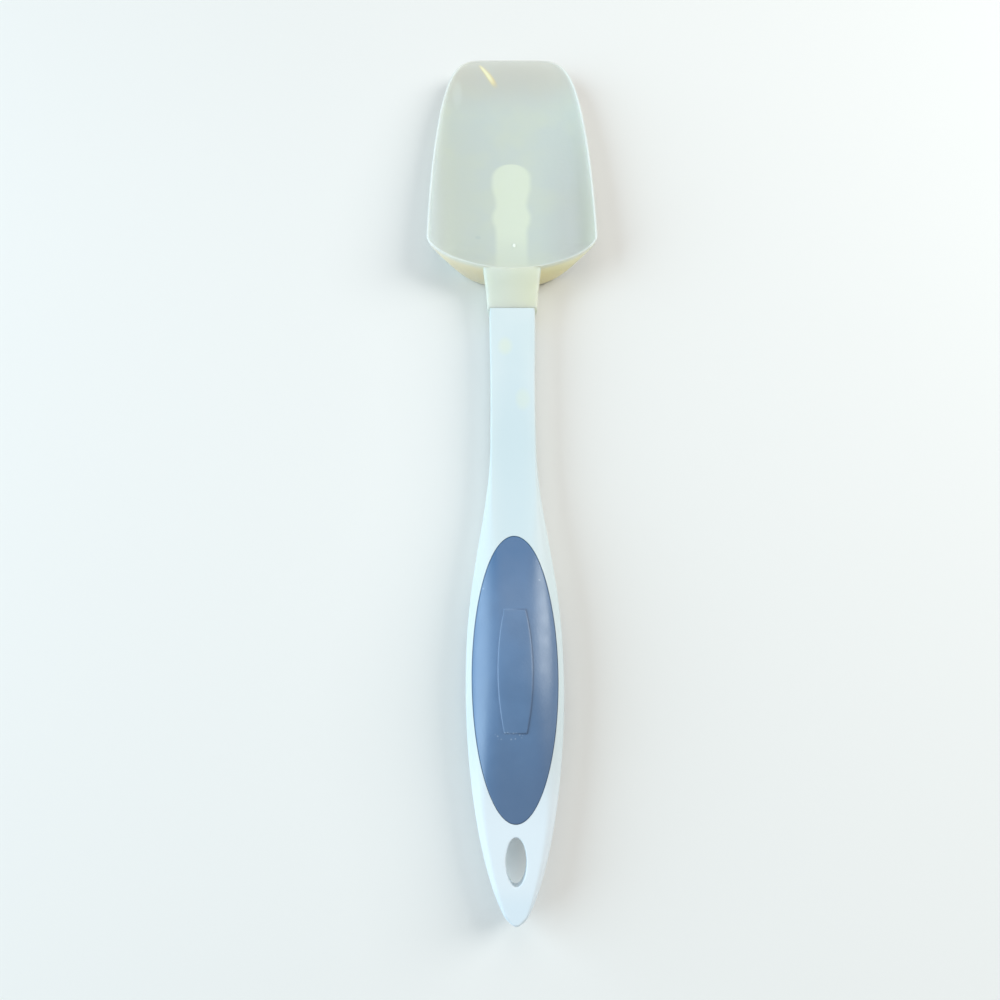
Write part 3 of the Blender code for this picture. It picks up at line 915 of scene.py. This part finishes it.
def bowl_colour(tree, vector, x, y):
    """Cloudy grey-green, with painted shade on the walls near the heel and a tint at the tip."""
    patches = fade(tree, cloud(tree, vector, 0.016, 2.0, 3.0), 0.35, 0.65)
    colour = tint(tree, patches, screen(209, 215, 203), screen(205, 212, 206))
    low = fade(tree, y, along(0.2900), along(0.2200))
    # Each wall's tint is painted shade, fading out towards the tip.
    for start, end, wall in PAINTED_WALL_SHADE:
        colour = tint(tree, times(tree, low, fade(tree, x, start, end)), colour, screen(*wall))
    return tint(tree, fade(tree, y, along(0.2750), along(0.3000)), colour, screen(203, 202, 193))


# %% Colour of the tang, the collar, the heel and the rim
def thick_places(tree, colour, x, y, z):
    """Thick plastic and the tang, a painted warm reflection at the heel, a painted rim highlight.
    """
    glow = times(tree, tang_glow(tree, x, y), 0.85)
    colour = tint(tree, glow, colour, screen(227, 233, 214))
    narrow = fade(tree, calc(tree, "ABSOLUTE", x), 0.0075, 0.0115, 1.0, 0.0)
    collar = times(tree, fade(tree, y, along(0.2090), along(0.1985)), narrow)
    warm = tint(tree, fade(tree, x, -0.008, 0.008), screen(216, 221, 208), screen(219, 220, 197))
    colour = tint(tree, collar, colour, warm)
    # Painted reflection: a warm tint on the heel's outside wall, stronger low down.
    amber = tint(tree, fade(tree, x, -0.012, 0.014), screen(225, 214, 186), screen(240, 231, 192))
    deep = fade(tree, z, 0.0134, 0.0110, 0.35, 1.0)
    colour = tint(tree, times(tree, heel_amber(tree, y), deep), colour, amber)
    # Painted highlight: a bright line along the rim, creamier towards the tip.
    to_tip = fade(tree, y, along(0.2960), along(0.3020))
    rim = tint(tree, to_tip, screen(230, 238, 230), screen(240, 237, 222))
    return tint(tree, times(tree, rim_light(tree, y, z), 0.6), colour, rim)


# %% Painted glints and a darker spot on the spoon
def spoon_glints_and_spot(tree, colour, x, y):
    """A painted warm glint near the tip, a painted pale sheen by its left edge and a darker spot.
    """
    # Painted highlight: a warm slanted glint near the tip, a halo round a paler core.
    halo = streak(tree, x, y, (-0.0128, 0.1508), (-0.0058, 0.1393), 0.0014, 0.0005)
    core = streak(tree, x, y, (-0.0128, 0.1508), (-0.0068, 0.1407), 0.0010, 0.0005)
    colour = tint(tree, times(tree, halo, 0.8), colour, screen(243, 218, 146))
    colour = tint(tree, core, colour, screen(255, 245, 203))
    # Painted highlight: a pale sheen patch by the tip's left edge.
    painted_sheen = spot(tree, x, y, (-0.0210, 0.1350), (0.0024, 0.0085))
    colour = tint(tree, times(tree, painted_sheen, 0.35), colour, screen(220, 226, 220))
    dark_spot = spot(tree, x, y, (-0.0122, 0.0675), (0.0014, 0.0010))
    return tint(tree, times(tree, dark_spot, 0.35), colour, screen(182, 196, 192))


# %% Spoon finish
def milky_plastic():
    made, tree, shader, vector, (x, y, z) = new_finish("milky_soft_plastic", 0.42)
    colour = thick_places(tree, bowl_colour(tree, vector, x, y), x, y, z)
    feed(shader.inputs["Base Color"], spoon_glints_and_spot(tree, colour, x, y))
    vary_roughness(tree, shader, cloud(tree, vector, 0.007, 3.0, 8.0), 0.36, 0.50)
    shader.inputs["Subsurface Weight"].default_value = 0.7
    shader.inputs["Subsurface Radius"].default_value = (1.0, 1.0, 0.9)
    shader.inputs["Subsurface Scale"].default_value = 0.005
    shader.inputs["IOR"].default_value = 1.43
    roughen(tree, shader, cloud(tree, vector, 0.0012, 2.0, 1.0), 0.00003)
    return made


spoon.data.materials.clear()
spoon.data.materials.append(milky_plastic())
print("spoon finish:", len(spoon.data.materials[0].node_tree.nodes), "nodes")


# %% Gate finish
def gate_plastic():
    made, tree, shader, vector, (x, y, _) = new_finish("gate_plastic", 0.12)
    # Painted highlight: the nub's top is painted near white.
    top = spot(tree, x, y, (GATE_X, along(GATE_STATION)), (0.0008, 0.0012))
    colour = tint(tree, top, screen(228, 238, 226), screen(252, 254, 246))
    feed(shader.inputs["Base Color"], colour)
    grain = cloud(tree, vector, 0.0003, 2.0, 11.0)
    vary_roughness(tree, shader, grain, 0.10, 0.20)
    roughen(tree, shader, grain, 0.000005)
    return made


gate.data.materials.append(gate_plastic())
print("gate finish:", len(gate.data.materials[0].node_tree.nodes), "nodes")

# %% [markdown]
# ## The handle's white plastic
#
# The handle is a hard satin plastic, a cool white with a hint of blue. Use has left faint yellow
# spots on the shank and fine handling marks, which show as changes in its gloss. They could be
# painted on an image, but a few masks on the object's own coordinates need no unwrapping. The
# tail is painted paler as painted light, and the middle of the flare darker as painted shade.

# %% Handle finish
STAINS = (((-0.0025, 0.0176), (0.0030, 0.0042), 0.30),
          ((0.0032, -0.0022), (0.0030, 0.0050), 0.22))


def white_plastic():
    made, tree, shader, vector, (x, y, _) = new_finish("white_satin_plastic", 0.30)
    patches = fade(tree, cloud(tree, vector, 0.022, 2.0, 5.0), 0.35, 0.65)
    colour = tint(tree, patches, screen(219, 231, 232), screen(223, 233, 234))
    # Painted light: the tail is painted paler, its very end a little less so.
    colour = tint(tree, fade(tree, y, along(0.0480), along(0.0260)), colour, screen(232, 240, 245))
    colour = tint(tree, fade(tree, y, along(0.0105), along(0.0040)), colour, screen(225, 236, 243))
    # Painted shade: a soft darker patch down the middle of the shank and its flare.
    hollow = spot(tree, x, y, (0.0, along(0.1240)), (0.0085, 0.0600))
    colour = tint(tree, times(tree, hollow, 0.62), colour, screen(208, 224, 229))
    for centre, reach, share in STAINS:
        stain = times(tree, spot(tree, x, y, centre, reach), share)
        colour = tint(tree, stain, colour, screen(236, 238, 200))
    feed(shader.inputs["Base Color"], colour)
    vary_roughness(tree, shader, cloud(tree, vector, 0.012, 2.0, 2.0), 0.40, 0.47)
    shader.inputs["Subsurface Weight"].default_value = 0.06
    shader.inputs["Subsurface Radius"].default_value = (1.0, 1.0, 1.0)
    shader.inputs["Subsurface Scale"].default_value = 0.001
    shader.inputs["IOR"].default_value = 1.49
    roughen(tree, shader, cloud(tree, vector, 0.0008, 1.0, 4.0), 0.000004)
    return made


handle.data.materials.clear()
handle.data.materials.append(white_plastic())
print("handle finish:", len(handle.data.materials[0].node_tree.nodes), "nodes")

# %% [markdown]
# ## The inlays' soft plastic
#
# The inlays are a dusty blue-grey with a silky shine. Crumbs of dust lie in the corner under the
# plaque and, thinly, all over. They are specks in the colour, because modelled crumbs would be too
# small to show their shape. The left side is painted lighter as a painted sheen, and the right side
# and the top end darker as painted shade. The plaque's edge gets painted light and shade too.

# %% Dust and the plaque's painted edge light
def dust(tree, vector, size, share, channel, reach):
    """Sparse small specks: the middles of those cells whose random colour is low in a channel."""
    cells = tree.nodes.new("ShaderNodeTexVoronoi")
    feed(cells.inputs["Vector"], vector)
    feed(cells.inputs["Scale"], 1 / size)
    pick = tree.nodes.new("ShaderNodeSeparateColor")
    tree.links.new(cells.outputs["Color"], pick.inputs[0])
    chosen = calc(tree, "LESS_THAN", pick.outputs[channel], share)
    speck = fade(tree, cells.outputs["Distance"], reach / 2, reach, 1.0, 0.0)
    return times(tree, speck, chosen)


def plaque_edge(tree, x, y):
    """1 in a thin line along the plaque's edge, where light and shade are painted."""
    across = calc(tree, "ABSOLUTE", x)
    part = calc(tree, "DIVIDE", calc(tree, "SUBTRACT", y, along(INLAY_MIDDLE)), PLAQUE_HALF_LENGTH)
    squared = times(tree, part, part)
    lost = times(tree, squared, (PLAQUE_WIDTH - PLAQUE_END_WIDTH) / 2)
    half_width = calc(tree, "SUBTRACT", PLAQUE_WIDTH / 2, lost)
    from_side = calc(tree, "ABSOLUTE", calc(tree, "SUBTRACT", half_width, across))
    side = times(tree, fade(tree, from_side, 0.0001, 0.0004, 1.0, 0.0),
                 fade(tree, squared, 1.0, 1.05, 1.0, 0.0))
    past_end = calc(tree, "ABSOLUTE", calc(tree, "SUBTRACT", squared, 1.0))
    from_end = times(tree, past_end, PLAQUE_HALF_LENGTH / 2)
    end = times(tree, fade(tree, from_end, 0.0001, 0.0004, 1.0, 0.0),
                fade(tree, across, 0.0030, 0.0033, 1.0, 0.0))
    return calc(tree, "MAXIMUM", side, end)


# %% Inlay finish
def painted_plaque_edge(tree, colour, x, y):
    """The plaque's edge: painted light on the left and painted shade on the right."""
    edge = tint(tree, fade(tree, x, -0.003, 0.003), screen(134, 162, 196), screen(78, 102, 136))
    painted_edge = times(tree, plaque_edge(tree, x, y), fade(tree, x, -0.003, 0.003, 0.3, 0.6))
    return tint(tree, painted_edge, colour, edge)


def dusty(tree, colour, vector, x, y):
    """Specks of dust all over, and crumbs heaped in the corner under the plaque."""
    everywhere = times(tree, dust(tree, vector, 0.0018, 0.012, 0, 0.22), 0.25)
    corner = spot(tree, x, y, (-0.0018, along(0.0462)), (0.0046, 0.0013))
    heaped = times(tree, dust(tree, vector, 0.0006, 0.50, 2, 0.50), corner, 0.5)
    specks = calc(tree, "MAXIMUM", everywhere, heaped)
    return tint(tree, specks, colour, screen(196, 212, 226))


def soft_plastic():
    made, tree, shader, vector, (x, y, _) = new_finish("blue_grey_soft_plastic", 0.40)
    patches = fade(tree, cloud(tree, vector, 0.010, 3.0, 6.0), 0.35, 0.65)
    colour = tint(tree, patches, screen(91, 123, 161), screen(96, 129, 168))
    colour = tint(tree, fade(tree, y, along(0.0560), along(0.0240)), colour, screen(86, 114, 149))
    # Painted shade: the inlay's top end is painted darker.
    colour = tint(tree, fade(tree, y, along(0.0800), along(0.1000)), colour, screen(61, 107, 152))
    # Painted sheen on the left side, lighter and bluer, and painted shade on the right side.
    colour = tint(tree, fade(tree, x, -0.0030, -0.0110, 0.0, 0.5), colour, screen(96, 135, 180))
    colour = tint(tree, fade(tree, x, 0.0020, 0.0090, 0.0, 0.4), colour, screen(90, 114, 149))
    colour = dusty(tree, painted_plaque_edge(tree, colour, x, y), vector, x, y)
    feed(shader.inputs["Base Color"], colour)
    vary_roughness(tree, shader, cloud(tree, vector, 0.004, 3.0, 7.0), 0.33, 0.41)
    shader.inputs["IOR"].default_value = 1.80
    roughen(tree, shader, cloud(tree, vector, 0.0007, 2.0, 9.0), 0.00003)
    return made


inlay_finish = soft_plastic()
for piece in (front_inlay, rear_inlay):
    piece.data.materials.clear()
    piece.data.materials.append(inlay_finish)
print("inlay finish:", len(inlay_finish.node_tree.nodes), "nodes")

# %% [markdown]
# ## Riding on the frame
#
# Every piece says which body it moves with, which imported node it stands for, and which slot of
# the record its finish belongs to. The spatula has one body, called root.

# %% Ride and replace
dressed = ((spoon, "spoon_head", "head"), (handle, "handle", "handle"),
           (front_inlay, "front_grip", "grip"), (rear_inlay, "rear_grip", "grip"))
for piece, node, slot in dressed:
    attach(piece, "root")
    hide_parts(node)
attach(gate, "root")
print("pieces on the frame:", len(dressed), "and the gate mark")

# %% [markdown]
# ## Floor and light
#
# The floor is plain and pale. The light is that of a room by day: a pale sky all round, a large
# soft lamp overhead, a cool one low on the left like a window, and a smaller one on the right. The
# two low ones draw the long soft shines down the inlay's sides. A picture of a room could light it
# too, but lamps can be moved one at a time until each shine falls in its place.

# %% Floor
FLOOR_GAP = 0.0001


def floor_sheet(size, colour):
    bm = bmesh.new()
    below = Matrix.Translation((0.0, 0.0, -FLOOR_GAP))
    bmesh.ops.create_grid(bm, x_segments=2, y_segments=2, size=size / 2, matrix=below)
    mesh = bpy.data.meshes.new("floor")
    bm.to_mesh(mesh)
    bm.free()
    sheet = bpy.data.objects.new("floor", mesh)
    bpy.context.scene.collection.objects.link(sheet)
    made, tree, shader, vector, _ = new_finish("floor_paint", 0.85)
    darker = [0.98 * part for part in colour[:3]] + [1.0]
    feed(shader.inputs["Base Color"], tint(tree, cloud(tree, vector, 0.2, 1.0), colour, darker))
    mesh.materials.append(made)
    return sheet


floor_sheet(6.0, screen(243, 240, 236))
print("the floor lies", 1000 * FLOOR_GAP, "mm under the spatula")


# %% Lamps
def soft_lamp(name, place, aim, size, glow, colour):
    """A rectangle of light. The glow is how bright its face looks beside a white sheet."""
    data = bpy.data.lights.new(name, "AREA")
    data.shape = "RECTANGLE"
    data.size, data.size_y = size
    data.energy = glow * math.pi * size[0] * size[1]
    data.color = colour
    lamp = bpy.data.objects.new(name, data)
    lamp.location = place
    towards = Vector(aim) - Vector(place)
    lamp.rotation_euler = towards.to_track_quat("-Z", "Y").to_euler()
    bpy.context.scene.collection.objects.link(lamp)
    return lamp


soft_lamp("overhead", place=(0.0, 0.75, 1.10), aim=(0.0, 0.0, 0.0), size=(0.9, 0.9),
          glow=1.04, colour=(1.0, 0.965, 0.925))
soft_lamp("window", place=(-0.80, -0.10, 0.56), aim=(0.0, -0.11, 0.50), size=(1.0, 1.0),
          glow=3.42, colour=(0.66, 0.87, 1.0))
soft_lamp("right_fill", place=(0.70, 0.20, 0.58), aim=(0.0, -0.02, 0.0), size=(0.46, 0.70),
          glow=5.3, colour=(0.91, 0.97, 0.975))

# %% Sky and view
world = bpy.data.worlds.new("room")
world.use_nodes = True
sky = world.node_tree.nodes["Background"]
sky.inputs["Color"].default_value = (1.0, 0.985, 0.96, 1.0)
sky.inputs["Strength"].default_value = 0.30
bpy.context.scene.world = world
bpy.context.scene.view_settings.view_transform = "Standard"
